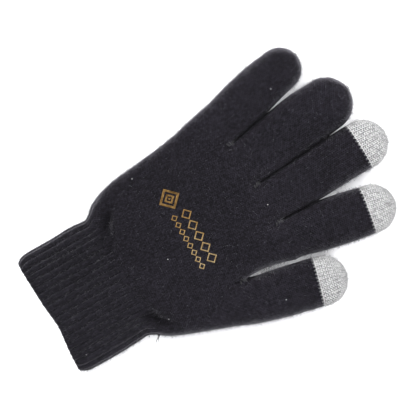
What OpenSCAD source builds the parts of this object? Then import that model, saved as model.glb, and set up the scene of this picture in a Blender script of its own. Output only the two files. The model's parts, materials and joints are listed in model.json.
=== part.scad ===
// A knitted touchscreen glove, lying flat with its back up and its fingers towards +Y.
// Every tube is hollow and opens into the next one, so a hand can go in at the cuff.
// Finger, thumb and cuff tubes stand off their neighbours by the room that each hinge needs.

/* [Overall] */
// Length from the mouth of the cuff to the tip of the middle finger
glove_length = 215; // [205:1:230]
// Thickness of the glove as it lies, both layers and the air between them
thickness = 11; // [10:0.5:13]
// Thickness of one layer of knitting
wall = 1.6; // [1.2:0.1:2]

/* [Cuff] */
// Length of the ribbed cuff
cuff_length = 46; // [40:1:52]
// Width of the ribbed cuff
cuff_width = 74; // [70:0.5:78]
// Length of the welt at the mouth of the cuff
welt_length = 3; // [2:0.5:5]
// How far the welt stands out from the rib
welt_proud = 0.5; // [0.2:0.1:1]
// Number of elastic threads laid into the cuff
elastic_count = 6; // [2:1:8]

/* [Hand] */
// Distance from the mouth of the cuff to the crotches between the fingers
knuckle_y = 140.5; // [138:0.5:143]
// Distance from the mouth of the cuff to the crotch of the thumb
thumb_crotch_y = 107; // [105:0.5:109]
// How far the crotch of the thumb lies from the middle of the cuff
thumb_crotch_x = 36.4; // [36:0.1:37]
// How far the middle finger lies from the middle of the cuff
middle_x = 5.9; // [5.5:0.1:6.2]
// Room between the roots of neighbouring fingers
finger_gap = 0.6; // [0.5:0.1:0.8]

/* [Little finger] */
// Width across the flat tube
little_width = 24.2; // [22:0.1:25]
// Length from the knuckle to the tip
little_length = 58.2; // [50:0.1:64]
// Lean towards the thumb's side, in degrees
little_lean = -12.5; // [-14:0.5:-11]

/* [Ring finger] */
// Width across the flat tube
ring_width = 26.6; // [24:0.1:27]
// Length from the knuckle to the tip
ring_length = 71.4; // [62:0.1:76]
// Lean towards the thumb's side, in degrees
ring_lean = -6.3; // [-7:0.1:-5]

/* [Middle finger] */
// Width across the flat tube
middle_width = 23.8; // [22:0.1:24]

/* [Index finger] */
// Width across the flat tube
index_width = 25; // [23:0.1:25.2]
// Length from the knuckle to the tip
index_length = 63; // [56:0.1:70]
// Lean towards the thumb's side, in degrees
index_lean = 9.5; // [8:0.5:10]

/* [Thumb] */
// Width across the flat tube
thumb_width = 26; // [23:0.1:26.4]
// Length from the root to the tip
thumb_length = 55; // [48:0.1:60]
// Lean away from the hand, in degrees
thumb_lean = 15; // [15:0.5:17]

/* [Touch tips] */
// Length of the conductive knitting at the tips of the thumb, index and middle finger
touch_length = 17; // [15:0.5:19]

/* [Bending] */
// How far each knuckle bends down, in degrees
knuckle_flex = 85; // [60:1:88]
// How far each knuckle bends back, in degrees
knuckle_back = 20; // [0:1:25]
// How far the middle joint of each finger bends down, in degrees
middle_flex = 90; // [60:1:90]
// How far the root of the thumb bends down, in degrees
thumb_flex = 55; // [40:1:60]
// How far the cuff bends up and down at the wrist, in degrees
wrist_bend = 45; // [30:1:50]

/* [Emblem] */
// Width of the line that the foil emblem is drawn with
foil_line = 0.7; // [0.5:0.1:1]
// Thickness of the foil film
foil_film = 0.2; // [0.1:0.05:0.3]

/* [Hidden] */
$fn = 48;
eps = 0.01;
clear = 0.4;          // running room at every hinge
half = thickness / 2; // height of the hinge axes above the table
far = 200;            // larger than the glove, for cutting
charcoal = [0.15, 0.15, 0.17];
conductive_grey = [0.78, 0.78, 0.77];
gold = [0.75, 0.58, 0.28];

// Directions across and along a finger that leans by a degrees
function across(a) = [cos(a), -sin(a)];
function along(a) = [sin(a), cos(a)];

// A finger is [root, lean, width, length, middle joint, start of its touch tip]
function finger(root, lean, width, length, touch = undef) =
    [root, lean, width, length, joint_share * length, touch];
function root_of(f) = f[0];
function lean_of(f) = f[1];
function width_of(f) = f[2];
function length_of(f) = f[3];
function joint_of(f) = f[4];
function touch_of(f) = f[5];
function tip_centre(f) = root_of(f) + (length_of(f) - width_of(f) / 2) * along(lean_of(f));
function touch_start(length) = length - touch_length;
// Middle joints fold square to the glove, so a fist has the fingers side by side.
// A leaning finger's fold reaches this far along it on either side of the joint.
function fold_reach(f) = width_of(f) / 2 * tan(abs(lean_of(f)));

middle_length = glove_length - knuckle_y;
ring_crotch = [middle_x - middle_width / 2 - finger_gap, knuckle_y];
index_crotch = [middle_x + middle_width / 2 + finger_gap, knuckle_y];
little_crotch = [ring_crotch.x - ring_width / cos(ring_lean) - finger_gap, knuckle_y];
thumb_crotch = [thumb_crotch_x, thumb_crotch_y];

joint_share = 0.41; // the middle joint, as a share of a finger's length
little = finger(little_crotch - little_width / 2 * across(little_lean),
                little_lean, little_width, little_length);
ring = finger(ring_crotch - ring_width / 2 * across(ring_lean),
              ring_lean, ring_width, ring_length);
middle = finger([middle_x, knuckle_y],
                0, middle_width, middle_length, touch_start(middle_length));
index = finger(index_crotch + index_width / 2 * across(index_lean),
               index_lean, index_width, index_length, touch_start(index_length));
thumb = finger(thumb_crotch + thumb_width / 2 * across(thumb_lean),
               thumb_lean, thumb_width, thumb_length, touch_start(thumb_length));
knuckle_fingers = [little, ring, middle, index];

// The origin is the middle of the glove's box, on the table
x_low = tip_centre(little).x - little_width / 2;
x_high = tip_centre(thumb).x + thumb_width / 2;
origin = [(x_low + x_high) / 2, glove_length / 2];

// Middle lines of the rounded sides of the hand, a half thickness inside its outline
wrist_side = cuff_width / 2 - half;
palm_sides = [
    [-wrist_side, cuff_length - 6], [wrist_side, cuff_length - 6],
    [-wrist_side, cuff_length + 1], [wrist_side, cuff_length + 1],
    [-38.5, cuff_length + 11], [38.8, cuff_length + 13],
    [-42, cuff_length + 26], [45.5, cuff_length + 30],
    [-43.8, cuff_length + 41], [51.5, cuff_length + 45],
    [-46, thumb_crotch_y + 4], [57, thumb_crotch_y + 4]
];
finger_sides = [
    [-45.5, thumb_crotch_y - 5], [28.5, thumb_crotch_y - 5],
    [-52, knuckle_y - 4], [36, knuckle_y - 4],
    [-54, knuckle_y + 8], [38, knuckle_y + 8]
];

module in_place() {
    translate([-origin.x, -origin.y, 0]) children();
}

module at_finger(f) {
    translate([root_of(f).x, root_of(f).y, 0]) rotate(-lean_of(f)) children();
}

// Flat tube's cross-section, with half-round sides
module oblong(w, t) {
    square([w - t, t], center = true);
    for (side = [-1, 1]) translate([side * (w - t) / 2, 0]) circle(d = t);
}

// A flat tube along +Y, with t the thickness of what it is cut from
module bar(w, t, from, to) {
    translate([0, to, half]) rotate([90, 0, 0]) linear_extrude(height = to - from) oblong(w, t);
}

module tube(w, from, to) {
    difference() {
        bar(w, thickness, from, to);
        bar(w - 2 * wall, thickness - 2 * wall, from - 1, to + 1);
    }
}

// Half of a round-edged disc, which closes a finger
module half_disc(w, t) {
    translate([0, 0, half]) rotate_extrude(angle = 180) {
        translate([0, -t / 2]) square([(w - t) / 2, t]);
        intersection() {
            translate([(w - t) / 2, 0]) circle(d = t);
            translate([0, -t]) square([w, 2 * t]);
        }
    }
}

// A finger's closed end, from a distance along it to its tip
module closed_tube(f, from) {
    w = width_of(f);
    centre = length_of(f) - w / 2;
    difference() {
        union() {
            bar(w, thickness, from, centre);
            translate([0, centre, 0]) half_disc(w, thickness);
        }
        bar(w - 2 * wall, thickness - 2 * wall, from - 1, centre + eps);
        translate([0, centre, 0]) half_disc(w - 2 * wall, thickness - 2 * wall);
    }
}

// The room behind a hinge at y = 0 that a tube needs to bend down and back
module hinge_room(w, down, back) {
    low = half * sin(down) + clear;
    high = half * sin(back) + clear;
    translate([-w / 2, -low, -1]) cube([w, far, half + 1]);
    translate([-w / 2, -high, half - eps]) cube([w, far, thickness]);
}

// A ball with points at its two poles, so that what is hulled from it lies flat
module ball(r) {
    rotate_extrude($fn = 32) intersection() {
        circle(r, $fn = 32);
        translate([0, -r]) square([r, 2 * r]);
    }
}

module rounded_slab(sides, r) {
    hull() for (p = sides) translate([p.x, p.y, half]) ball(r);
}

// Two layers of knitting with round sides, open at both ends once they are cut off
module hand_skin(sides) {
    difference() {
        rounded_slab(sides, half);
        rounded_slab(sides, half - wall);
    }
}

module hand_lower() {
    color(charcoal) difference() {
        hand_skin(palm_sides);
        translate([-far, thumb_crotch_y, -1]) cube([2 * far, far, thickness + 2]);
        translate([0, cuff_length, 0]) mirror([0, 1, 0]) hinge_room(far, wrist_bend, wrist_bend);
        at_finger(thumb) translate([far / 2 - thumb_width / 2 - finger_gap, 0, 0])
            hinge_room(far, thumb_flex, knuckle_back);
    }
}

module hand_upper() {
    color(charcoal) difference() {
        hand_skin(finger_sides);
        translate([-far, -far, -1]) cube([2 * far, far + thumb_crotch_y, thickness + 2]);
        for (f = knuckle_fingers)
            at_finger(f) hinge_room(width_of(f) + 4, knuckle_flex, knuckle_back);
        at_finger(little) translate([-far / 2, 0, 0]) hinge_room(far, knuckle_flex, knuckle_back);
        at_finger(index) translate([far / 2, 0, 0]) hinge_room(far, knuckle_flex, knuckle_back);
    }
}

// A few stitches that hold the two layers together at a crotch
module crotch_stitch(at) {
    color(charcoal) translate([at.x, at.y, wall])
        linear_extrude(height = thickness - 2 * wall) rotate(90) oblong(5, 2.4);
}

stitch_back = 6; // from the room of a hinge to the middle of its crotch's stitches
crotch_back = half * sin(knuckle_flex) + clear + stitch_back;
thumb_crotch_back = half * sin(thumb_flex) + clear + stitch_back;

module elastic_band(clearance) {
    inner = thickness - 2 * wall;
    width = cuff_width - 2 * wall;
    linear_extrude(height = 0.8 + 2 * clearance, center = true) difference() {
        oblong(width + 1, inner + 1);
        oblong(width - 0.6, inner - 0.6);
    }
}

module elastic_bands(clearance) {
    for (i = [1:elastic_count])
        translate([0, i * cuff_length / (elastic_count + 1), half]) rotate([90, 0, 0])
            elastic_band(clearance);
}

module cuff_rib() {
    color(charcoal) difference() {
        tube(cuff_width, welt_length, cuff_length);
        elastic_bands(0.02);
    }
}

module cuff_elastic() {
    color([0.3, 0.3, 0.32]) elastic_bands(0);
}

module cuff_welt() {
    proud = 2 * welt_proud;
    color(charcoal) translate([0, welt_length, half]) rotate([90, 0, 0])
        linear_extrude(height = welt_length) difference() {
            oblong(cuff_width + proud, thickness);
            oblong(cuff_width - 2 * wall, thickness - 2 * wall);
        }
}

// Puts its children at a finger's middle joint, with X along the joint's fold
module at_fold(f) {
    translate([0, joint_of(f), 0]) rotate(lean_of(f)) children();
}

module stall_lower(f) {
    color(charcoal) at_finger(f) difference() {
        tube(width_of(f), 0, joint_of(f) + fold_reach(f));
        at_fold(f) hinge_room(far, middle_flex, 0);
    }
}

module stall_upper(f) {
    from = joint_of(f) - fold_reach(f);
    color(charcoal) at_finger(f) difference() {
        if (touch_of(f) == undef) closed_tube(f, from);
        else tube(width_of(f), from, touch_of(f));
        at_fold(f) translate([-far / 2, -far, -1]) cube([far, far, thickness + 2]);
    }
}

module touch_tip(f) {
    color(conductive_grey) at_finger(f) closed_tube(f, touch_of(f));
}

// An outlined diamond, drawn with the foil's line
module diamond(w, h) {
    corners = [[w / 2, 0], [0, h / 2], [-w / 2, 0], [0, -h / 2]];
    inner = 1 - 2 * foil_line / min(w, h);
    difference() {
        polygon(corners);
        polygon(inner * corners);
    }
}

module diamond_row(count, pitch, w, h) {
    for (i = [0:count - 1]) translate([(i - (count - 1) / 2) * pitch, 0]) diamond(w, h);
}

module foil(at) {
    color(gold) translate([at.x, at.y, thickness]) linear_extrude(height = foil_film) children();
}

module emblem_badge() {
    foil([-23.8, 91.5]) {
        diamond(13, 13);
        diamond(8, 8);
        polygon([[1.5, 0], [0, 1.5], [-1.5, 0], [0, -1.5]]);
    }
}

module emblem_band_upper() {
    foil([2.4, 95.6]) diamond_row(5, 7, 6.6, 6.6);
}

module emblem_band_lower() {
    foil([2.4, 88.6]) diamond_row(8, 4.4, 4, 4);
}

// The loose end of yarn that is left where the rib meets the hand
module yarn_tail() {
    color(charcoal) translate([wrist_side + half - 1, cuff_length + 4, half])
        rotate([0, 90, -30]) cylinder(d = 0.8, h = 5);
}

in_place() {
    hand_lower();
    hand_upper();
    crotch_stitch(little_crotch - [0, crotch_back]);  // little_ring_crotch
    crotch_stitch(ring_crotch - [0, crotch_back]);  // ring_middle_crotch
    crotch_stitch(index_crotch - [0, crotch_back]);  // middle_index_crotch
    crotch_stitch(thumb_crotch - [0, thumb_crotch_back]);  // thumb_crotch_stitch
    emblem_badge();
    emblem_band_upper();
    emblem_band_lower();
    yarn_tail();
    cuff_rib();
    cuff_welt();
    cuff_elastic();
    stall_lower(little);  // little_stall_lower
    stall_upper(little);  // little_stall_upper
    stall_lower(ring);  // ring_stall_lower
    stall_upper(ring);  // ring_stall_upper
    stall_lower(middle);  // middle_stall_lower
    stall_upper(middle);  // middle_stall_upper
    touch_tip(middle);  // middle_touch_tip
    stall_lower(index);  // index_stall_lower
    stall_upper(index);  // index_stall_upper
    touch_tip(index);  // index_touch_tip
    stall_lower(thumb);  // thumb_stall_lower
    stall_upper(thumb);  // thumb_stall_upper
    touch_tip(thumb);  // thumb_touch_tip
}
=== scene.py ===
"""A knitted touchscreen glove, lying palm down on a pale table.

The knitting is one continuous skin, built stitch by stitch as five strips: one for each
finger and the thumb. A strip runs from inside the cuff, over the hand and out to its tip, and
its rows follow the courses of the knitting. The skin is then cut into pieces at the joints.
Lengths are in millimetres until the meshes are made. Every place comes from the CAD frame.
"""

import json
import math

import bpy
import numpy as np
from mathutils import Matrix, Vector
from mathutils.bvhtree import BVHTree
from mathutils.kdtree import KDTree


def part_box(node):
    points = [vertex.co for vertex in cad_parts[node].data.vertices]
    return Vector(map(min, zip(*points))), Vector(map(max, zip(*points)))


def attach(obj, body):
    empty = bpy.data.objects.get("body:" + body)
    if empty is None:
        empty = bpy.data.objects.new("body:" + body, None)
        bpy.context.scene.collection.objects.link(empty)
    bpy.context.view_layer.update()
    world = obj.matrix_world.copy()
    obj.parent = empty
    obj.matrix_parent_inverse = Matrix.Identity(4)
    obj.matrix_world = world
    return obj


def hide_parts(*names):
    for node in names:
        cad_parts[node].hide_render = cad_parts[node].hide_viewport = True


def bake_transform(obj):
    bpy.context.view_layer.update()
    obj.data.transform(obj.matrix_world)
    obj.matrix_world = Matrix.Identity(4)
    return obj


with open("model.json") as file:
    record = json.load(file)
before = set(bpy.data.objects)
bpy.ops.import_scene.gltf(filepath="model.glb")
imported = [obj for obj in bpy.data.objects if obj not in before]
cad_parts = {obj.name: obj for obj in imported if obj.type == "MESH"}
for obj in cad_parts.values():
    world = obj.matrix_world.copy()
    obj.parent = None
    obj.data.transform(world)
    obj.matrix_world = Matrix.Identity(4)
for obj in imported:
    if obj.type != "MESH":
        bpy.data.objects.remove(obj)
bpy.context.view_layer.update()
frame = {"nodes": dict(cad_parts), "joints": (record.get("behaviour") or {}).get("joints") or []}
MM = 0.001
joints = {j["name"]: j for j in frame["joints"]}
rng = np.random.default_rng(7)

# ---------------------------------------------------------------- driving sizes, in mm

WALE_SAMPLES = 4  # mesh columns in each stitch's width
COURSE_SAMPLES = 3  # mesh rows in each stitch's height
COURSE = 1.25  # height of a stitch
WALES = {"little": 15, "ring": 17, "middle": 15, "index": 16, "thumb": 17}
WALL = 1.3  # thickness of one layer of knitting
SIDE_RADIUS = 5.4  # roundness of the sides of the flattened tubes
EDGE_HEIGHT = 4.4  # height of the sides' middle line above the table
REST = 0.25  # gap under the lowest stitches, which the stitch relief fills
LINING_DEPTH = 34.0  # how far the inside of the cuff is knitted
WELT = 3.2  # length of the welt at the mouth of the cuff
RIB_HEIGHT = 0.56  # how far the ribs stand out and the furrows sink
STITCH_HEIGHT = 0.14  # relief of a single stitch, and the material's bump adds the rest
PRESSED_RADIUS = 1.7  # roundness of the sides where two fingers press together
SIDE_ROOM = 0.6  # the knitted tubes are a little fuller than the CAD ones
PRESSED_ROOM = 0.45  # but not where they touch
# How far each finger's left and right side bulge past its root, at these shares of the way
# from the root to where the tip starts to round off
BULGE_AT = (0, 0.15, 0.45, 0.75, 1)
BULGE = {
    "little": ((0, 0.3, 0.9, 0.9, -0.6), (0, 0.1, 0.4, -0.6, -0.9)),
    "ring": ((0, 0.6, 2.0, 2.8, 1.4), (0, 0.4, 1.2, 1.7, 1.3)),
    "middle": ((0, 0.6, 2.0, 3.2, 3.6), (0, 0.2, 0.5, -0.4, -0.3)),
    "index": ((0, 1.1, 3.3, 2.7, 1.6), (0, -1.3, -0.2, 0.3, 0.2)),
    "thumb": ((0, -0.6, 0.2, 0.7, 0.9), (0, 0.2, 0.6, 0.2, 0.0)),
}
# The first conductive course lies a little askew: mm further out at its left and right end
TOUCH_SKEW = {"middle": (-0.4, 0.9), "index": (0.5, 0.5), "thumb": (0.1, -0.4)}
JOINT_SPARE = 1.7  # mm taken off a middle joint's reach where its finger leans
TOOTH = 1.7  # height of the teeth where black and conductive stitches hang in each other
TIP_TRIM = {"little": 1.0, "ring": 0.6, "middle": 0.0, "index": 0.0, "thumb": 0.0}
PINCH = 3.0  # the layers come together over this length before a crotch
KNUCKLE_BACK = 6.0  # a finger's lower piece starts this far behind the crotch
KNUCKLE_SHARE = 0.42  # and ends at this share of the way to the middle joint
# Heights of the flat top above the sides' middle line, and of its crown above that
RISE = {"cuff": 3.5, "hand": 4.3, "finger": 3.7}
CROWN = {"cuff": 0.9, "hand": 2.0, "finger": 2.2}
TIP_ROUND = 0.55  # power of the cosine by which a tip's height falls: lower is blunter
STRAIGHTENING = 14.0  # length over which the hand's own outline becomes a finger's
LEG_FOOT, LEG_SLANT, LEG_WIDTH = 0.1, 0.3, 0.22  # of a stitch's legs, in stitch widths


def smooth(x):
    """0 below 0, 1 above 1, and an S curve between."""
    x = np.clip(x, 0.0, 1.0)
    return x * x * (3 - 2 * x)


def mix(a, b, t):
    return a + (b - a) * t


# ---------------------------------------------------------------- fingers, from the CAD frame


def node_points(name):
    data = frame["nodes"][name].data
    co = np.empty(len(data.vertices) * 3, np.float32)
    data.vertices.foreach_get("co", co)
    return co.reshape(-1, 3)[:, :2] / MM


class Finger:
    """Where a finger's tube stands: its root, its directions, its width and its lengths."""

    def __init__(self, name, knuckle, tip):
        self.name = name
        axis = np.array(joints[knuckle]["axis"][:2])
        self.root = np.array(joints[knuckle]["pos_m"][:2]) / MM
        self.across = -axis
        self.along = np.array([axis[1], -axis[0]])
        stall = (node_points(name + "_stall_lower") - self.root) @ self.across
        self.width = float(stall.max() - stall.min())
        self.length = float(((node_points(tip) - self.root) @ self.along).max())
        middle = np.array(joints[name + "_middle_joint"]["pos_m"][:2]) / MM
        self.middle = middle
        self.joint = float((middle - self.root) @ self.along)
        self.touch = None
        if tip.endswith("touch_tip"):
            self.touch = float(((node_points(tip) - self.root) @ self.along).min())

    def corner(self, side):
        return self.root + side * self.width / 2 * self.across

    def bend_end(self):
        return KNUCKLE_SHARE * self.joint


fingers = [
    Finger("little", "little_knuckle", "little_stall_upper"),
    Finger("ring", "ring_knuckle", "ring_stall_upper"),
    Finger("middle", "middle_knuckle", "middle_touch_tip"),
    Finger("index", "index_knuckle", "index_touch_tip"),
    Finger("thumb", "thumb_root", "thumb_touch_tip"),
]
little, ring, middle, index, thumb = fingers
mouth_low, mouth_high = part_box("cuff_welt")
mouth_y = mouth_low.y / MM
middle_x = (mouth_low.x + mouth_high.x) / 2 / MM
wrist_y = joints["wrist"]["pos_m"][1] / MM
cuff_length = wrist_y - mouth_y


def place(x, y):
    """A point given from the middle of the cuff's mouth."""
    return np.array([x + middle_x, y + mouth_y])


# ---------------------------------------------------------------- outline of the hand


def blurred(x, y, blur):
    """A smooth function close to the straight lines through the points (x, y)."""
    fine = np.arange(x[0] - 10, x[-1] + 10, 0.25)
    line = np.pad(np.interp(fine, x, y), 24, mode="edge")
    kernel = np.exp(-0.5 * (np.arange(-24, 25) * 0.25 / blur) ** 2)
    line = np.convolve(line, kernel / kernel.sum(), mode="valid")
    return lambda at: np.interp(at, fine, line)


def curve(points, blur=1.5):
    """A smooth curve x(y) through a few points (x, y), given from the mouth of the cuff."""
    x, y = np.array(points, float).T
    return blurred(y + mouth_y, x + middle_x, blur)


def from_mouth(point):
    return point[0] - middle_x, point[1] - mouth_y


crotches = [
    (little.corner(1) + ring.corner(-1)) / 2,
    (ring.corner(1) + middle.corner(-1)) / 2,
    (middle.corner(1) + index.corner(-1)) / 2,
]
thumb_crotch = thumb.corner(-1)
little_side = little.corner(-1) - 2 * SIDE_ROOM * little.across
index_side = index.corner(1) - 1.6 * index.across
thumb_side = thumb.corner(1) + SIDE_ROOM * thumb.across

left_outline = [
    (-33.8, -1.0), (-36.4, 1.2), (-37.4, 4.5), (-37.4, 12), (-37.2, 24), (-37.8, 33),
    (-37.2, 40), (-36.4, 44), (-38.2, 47), (-42.9, 51.5), (-46.1, 58.8), (-48.7, 70),
    (-50.2, 86), (-51.8, 100), (-53.8, 113), (-57.0, 126), from_mouth(little_side),
]
right_outline = [
    (33.4, -1.0), (35.8, 1.2), (36.8, 4.5), (37.0, 12), (37.0, 26), (36.6, 36),
    (36.0, 43), (37.6, 46), (42.9, 52.6), (46.7, 61), (51.1, 72.8), (56.3, 86.8),
    from_mouth(thumb_side),
]
index_outline = [
    from_mouth(thumb_crotch), (36.2, 116.5), (38.2, 127), from_mouth(index_side),
]
left_side = curve(left_outline)
right_side = curve(right_outline)
index_edge = curve(index_outline)

wales = np.array([WALES[f.name] for f in fingers])
first_wale = np.concatenate([[0], np.cumsum(wales)])
cuff_wales = int(wales.sum())
side_wrap = (math.pi / 2 - 1) * SIDE_RADIUS  # knitting that a round side takes up


def even_lines(y, right, count, right_wrap):
    """Where the lines between the strips cross a row of evenly spaced stitches."""
    left = float(left_side(y + mouth_y)) - middle_x
    pitch = (right - left + side_wrap + right_wrap) / count
    return [left + first_wale[i] * pitch - side_wrap for i in range(1, 5)]


MID_CUFF = 24.0  # from the mouth, where the stitches of the rib are shared out
cuff_right = float(right_side(MID_CUFF + mouth_y)) - middle_x
at_cuff = even_lines(MID_CUFF, cuff_right, cuff_wales, side_wrap)
thumb_crotch_y = float(thumb_crotch[1]) - mouth_y
at_crotch = even_lines(thumb_crotch_y, from_mouth(thumb_crotch)[0], first_wale[4], 0.0)
inner_lines = []
for i in range(3):
    inner_lines.append(
        curve(
            [
                (at_cuff[i], 0), (at_cuff[i], cuff_length), (at_crotch[i], thumb_crotch_y),
                from_mouth(crotches[i]),
            ],
            blur=5,
        )
    )
inner_lines.append(
    curve([(at_cuff[3], 0), (at_cuff[3], cuff_length), from_mouth(thumb_crotch)], blur=3)
)


# ---------------------------------------------------------------- rows of the hand


def row_heights():
    """The nominal height of every row of the hand, from the mouth to the knuckles."""
    step = COURSE / COURSE_SAMPLES
    stops = [mouth_y, mouth_y + WELT, wrist_y, mouth_y + thumb_crotch_y]
    stops.append(float(np.mean([c[1] for c in crotches])))
    rows = [stops[0]]
    for low, high in zip(stops, stops[1:]):
        count = round((high - low) / step)
        rows += [low + (high - low) * (i + 1) / count for i in range(count)]
    return np.array(rows), stops


heights, row_stops = row_heights()
crotch_row = int(np.argmin(abs(heights - row_stops[3])))
knuckle_row = len(heights) - 1
knuckle_line = row_stops[4]


def mouth_wave(x):
    """The mouth of the cuff isn't straight: its middle lies a little higher."""
    x = x - middle_x
    return 2.3 * np.exp(-(((x - 5) / 19) ** 2)) + 0.3 * np.sin(x / 6.1) + 0.2 * np.sin(x / 2.7)


def boundary(i, rows):
    """Line i between the strips, 0 at the little finger's side and 5 at the thumb's."""
    y = heights[rows]
    drop = np.zeros(len(y))
    if i == 0:
        drop = (knuckle_line - little_side[1]) * smooth((y - knuckle_line + 40) / 40)
    if i in (1, 2, 3):
        drop = (knuckle_line - crotches[i - 1][1]) * smooth((y - knuckle_line + 20) / 20)
    if i == 4:
        fall = (y - row_stops[3]) / (knuckle_line - row_stops[3])
        drop = (knuckle_line - index_side[1]) * smooth(fall)
    if i == 5:
        drop = (row_stops[3] - thumb_side[1]) * smooth((y - row_stops[3] + 40) / 40)
    y = y - drop
    if i == 0:
        x = left_side(y)
    elif i == 5:
        x = right_side(y)
    elif i == 4:
        x = np.where(heights[rows] > row_stops[3], index_edge(y), inner_lines[3](y))
    else:
        x = inner_lines[i - 1](y)
    fade = 1 - smooth((y - mouth_y) / 14)
    return np.stack([x, y + mouth_wave(x) * fade], 1)


# ---------------------------------------------------------------- a strip's rows

# A strip's rows are a table of columns with one value per row: the left and right points, a
# fold that is 1 where the top and bottom layers meet on that side, the radius of that side,
# rise and crown as named above, tip that falls from 1 to 0 as the tip closes, own that is 1
# where the crown is the finger's own and 0 where it is the whole hand's, the course that the
# row belongs to, and inside that is 1 on the inner face of the cuff.


def hand_rows(i, inside):
    """The rows of strip i from inside the cuff to where the strip leaves the hand."""
    last = crotch_row if i == 4 else knuckle_row
    rows = np.arange(0, last + 1)
    left, right = boundary(i, rows), boundary(i + 1, rows)
    y = heights[rows]
    pinch = smooth((y - heights[last] + PINCH) / PINCH)
    left_fold = np.ones(len(rows)) if i == 0 else pinch.copy()
    right_fold = np.ones(len(rows)) if i == 4 else pinch.copy()
    if i == 3:
        up_to_crotch = smooth((y - row_stops[3] + PINCH) / PINCH)
        right_fold = np.where(y >= row_stops[3], 1.0, up_to_crotch)
    left_radius = np.full(len(rows), SIDE_RADIUS if i == 0 else PRESSED_RADIUS)
    right_radius = np.full(len(rows), SIDE_RADIUS if i == 4 else PRESSED_RADIUS)
    if i == 3:
        past_crotch = smooth((y - row_stops[3]) / 12)
        right_radius = mix(PRESSED_RADIUS, SIDE_RADIUS, past_crotch)
    past_wrist = smooth((y - wrist_y + 3) / 16)
    rise = mix(RISE["cuff"], RISE["hand"], past_wrist)
    crown = mix(CROWN["cuff"], CROWN["hand"], past_wrist)
    own = smooth((y - heights[last] + STRAIGHTENING) / STRAIGHTENING)
    table = {
        "left": left, "right": right, "left_fold": left_fold, "right_fold": right_fold,
        "left_radius": left_radius, "right_radius": right_radius,
        "rise": rise, "crown": crown, "own": own, "tip": np.ones(len(rows)),
        "course": (y - mouth_y) / COURSE, "inside": np.zeros(len(rows)),
    }
    if not inside:
        return table
    # The lining runs from its depth back to the mouth, where a half-round rim joins it on.
    deep = heights < mouth_y + LINING_DEPTH
    back = rows[: int(deep.sum())][::-1]
    back = back[back > 0]
    lining = {key: value[back].copy() for key, value in table.items()}
    lining["inside"] = np.ones(len(back))
    turns = np.linspace(0, 1, 7)[1:-1]
    rim = {key: np.repeat(value[:1], len(turns), 0) for key, value in table.items()}
    rim["inside"] = 0.5 + 0.5 * np.cos(turns * math.pi)
    bulge = np.sin(turns * math.pi) * WALL / 2
    for side in ("left", "right"):
        rim[side] = rim[side] - np.stack([np.zeros(len(turns)), bulge], 1)
    return {key: np.concatenate([lining[key], rim[key], table[key]]) for key in table}


def finger_rows(i):
    """The rows of finger i from its root to its tip."""
    f = fingers[i]
    step = COURSE / COURSE_SAMPLES
    pressed = [0 < i < 4, i < 3]
    room = [PRESSED_ROOM if p else SIDE_ROOM for p in pressed]
    if f is little:
        room[0] = 2 * SIDE_ROOM
    if f is index:
        room[1] = -0.3 * SIDE_ROOM
    full = f.width / 2 + (BULGE[f.name][0][-1] + BULGE[f.name][1][-1] + sum(room)) / 2
    straight = f.length - TIP_TRIM[f.name] - full
    stations = np.array(BULGE_AT) * straight
    bulge = [blurred(stations, np.array(side), 3) for side in BULGE[f.name]]
    count = round(straight / step)
    d = straight * (np.arange(count) + 1) / count
    tip_count = int(full * 1.35 / step)
    angle = np.arange(1, tip_count + 1) / tip_count * math.pi / 2
    d = np.concatenate([d, straight + full * np.sin(angle)])
    curl = np.concatenate([np.ones(count), np.round(np.cos(angle), 9)])
    reach = np.minimum(d, straight)
    left = f.width / 2 + room[0] + bulge[0](reach)
    right = f.width / 2 + room[1] + bulge[1](reach)
    offset, half = (right - left) / 2, (right + left) / 2 * curl
    row = np.array([crotch_row if i == 4 else knuckle_row])
    fade = 1 - smooth(d / STRAIGHTENING)
    flattening = smooth(d / 25)
    sides = []
    for k, side in enumerate((-1, 1)):
        line = f.root + d[:, None] * f.along + (offset + side * half)[:, None] * f.across
        line_start = f.root + side * (f.width / 2 + room[k]) * f.across
        sides.append(line + fade[:, None] * (boundary(i + k, row)[0] - line_start))
    ones = np.ones(len(d))
    apart = mix(PRESSED_RADIUS, SIDE_RADIUS, smooth((d - 18) / 22))
    radii = [apart if p else SIDE_RADIUS * ones for p in pressed]
    if i == 4:
        radii[0] = mix(PRESSED_RADIUS, SIDE_RADIUS, smooth(d / 12))
    return {
        "left": sides[0], "right": sides[1], "left_fold": ones, "right_fold": ones,
        "left_radius": radii[0], "right_radius": radii[1],
        "rise": mix(RISE["hand"], RISE["finger"], flattening),
        "crown": mix(CROWN["hand"], CROWN["finger"], flattening), "own": ones,
        "tip": np.concatenate([np.ones(count), np.maximum(np.cos(angle), 0) ** TIP_ROUND]),
        "course": (heights[row[0]] - mouth_y) / COURSE + (np.arange(len(d)) + 1) / COURSE_SAMPLES,
        "inside": np.zeros(len(d)), "along": d,
    }


# ---------------------------------------------------------------- a strip's surface


def oblong(s, width, left_radius, right_radius):
    """How far across a flat tube each stitch lies, from 0 to 1, and its share of the height."""
    left = np.minimum(left_radius, 0.42 * width)
    right = np.minimum(right_radius, 0.42 * width)
    total = width + (math.pi / 2 - 1) * (left + right)
    from_left = (s + 1) / 2 * total
    left_turn = from_left / left
    right_turn = (total - from_left) / right
    quarter = math.pi / 2
    x = from_left - (quarter - 1) * left
    x = np.where(left_turn < quarter, left * (1 - np.cos(left_turn)), x)
    x = np.where(right_turn < quarter, width - right * (1 - np.cos(right_turn)), x)
    return x / width, np.sin(np.minimum(np.minimum(left_turn, right_turn), quarter))


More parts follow.
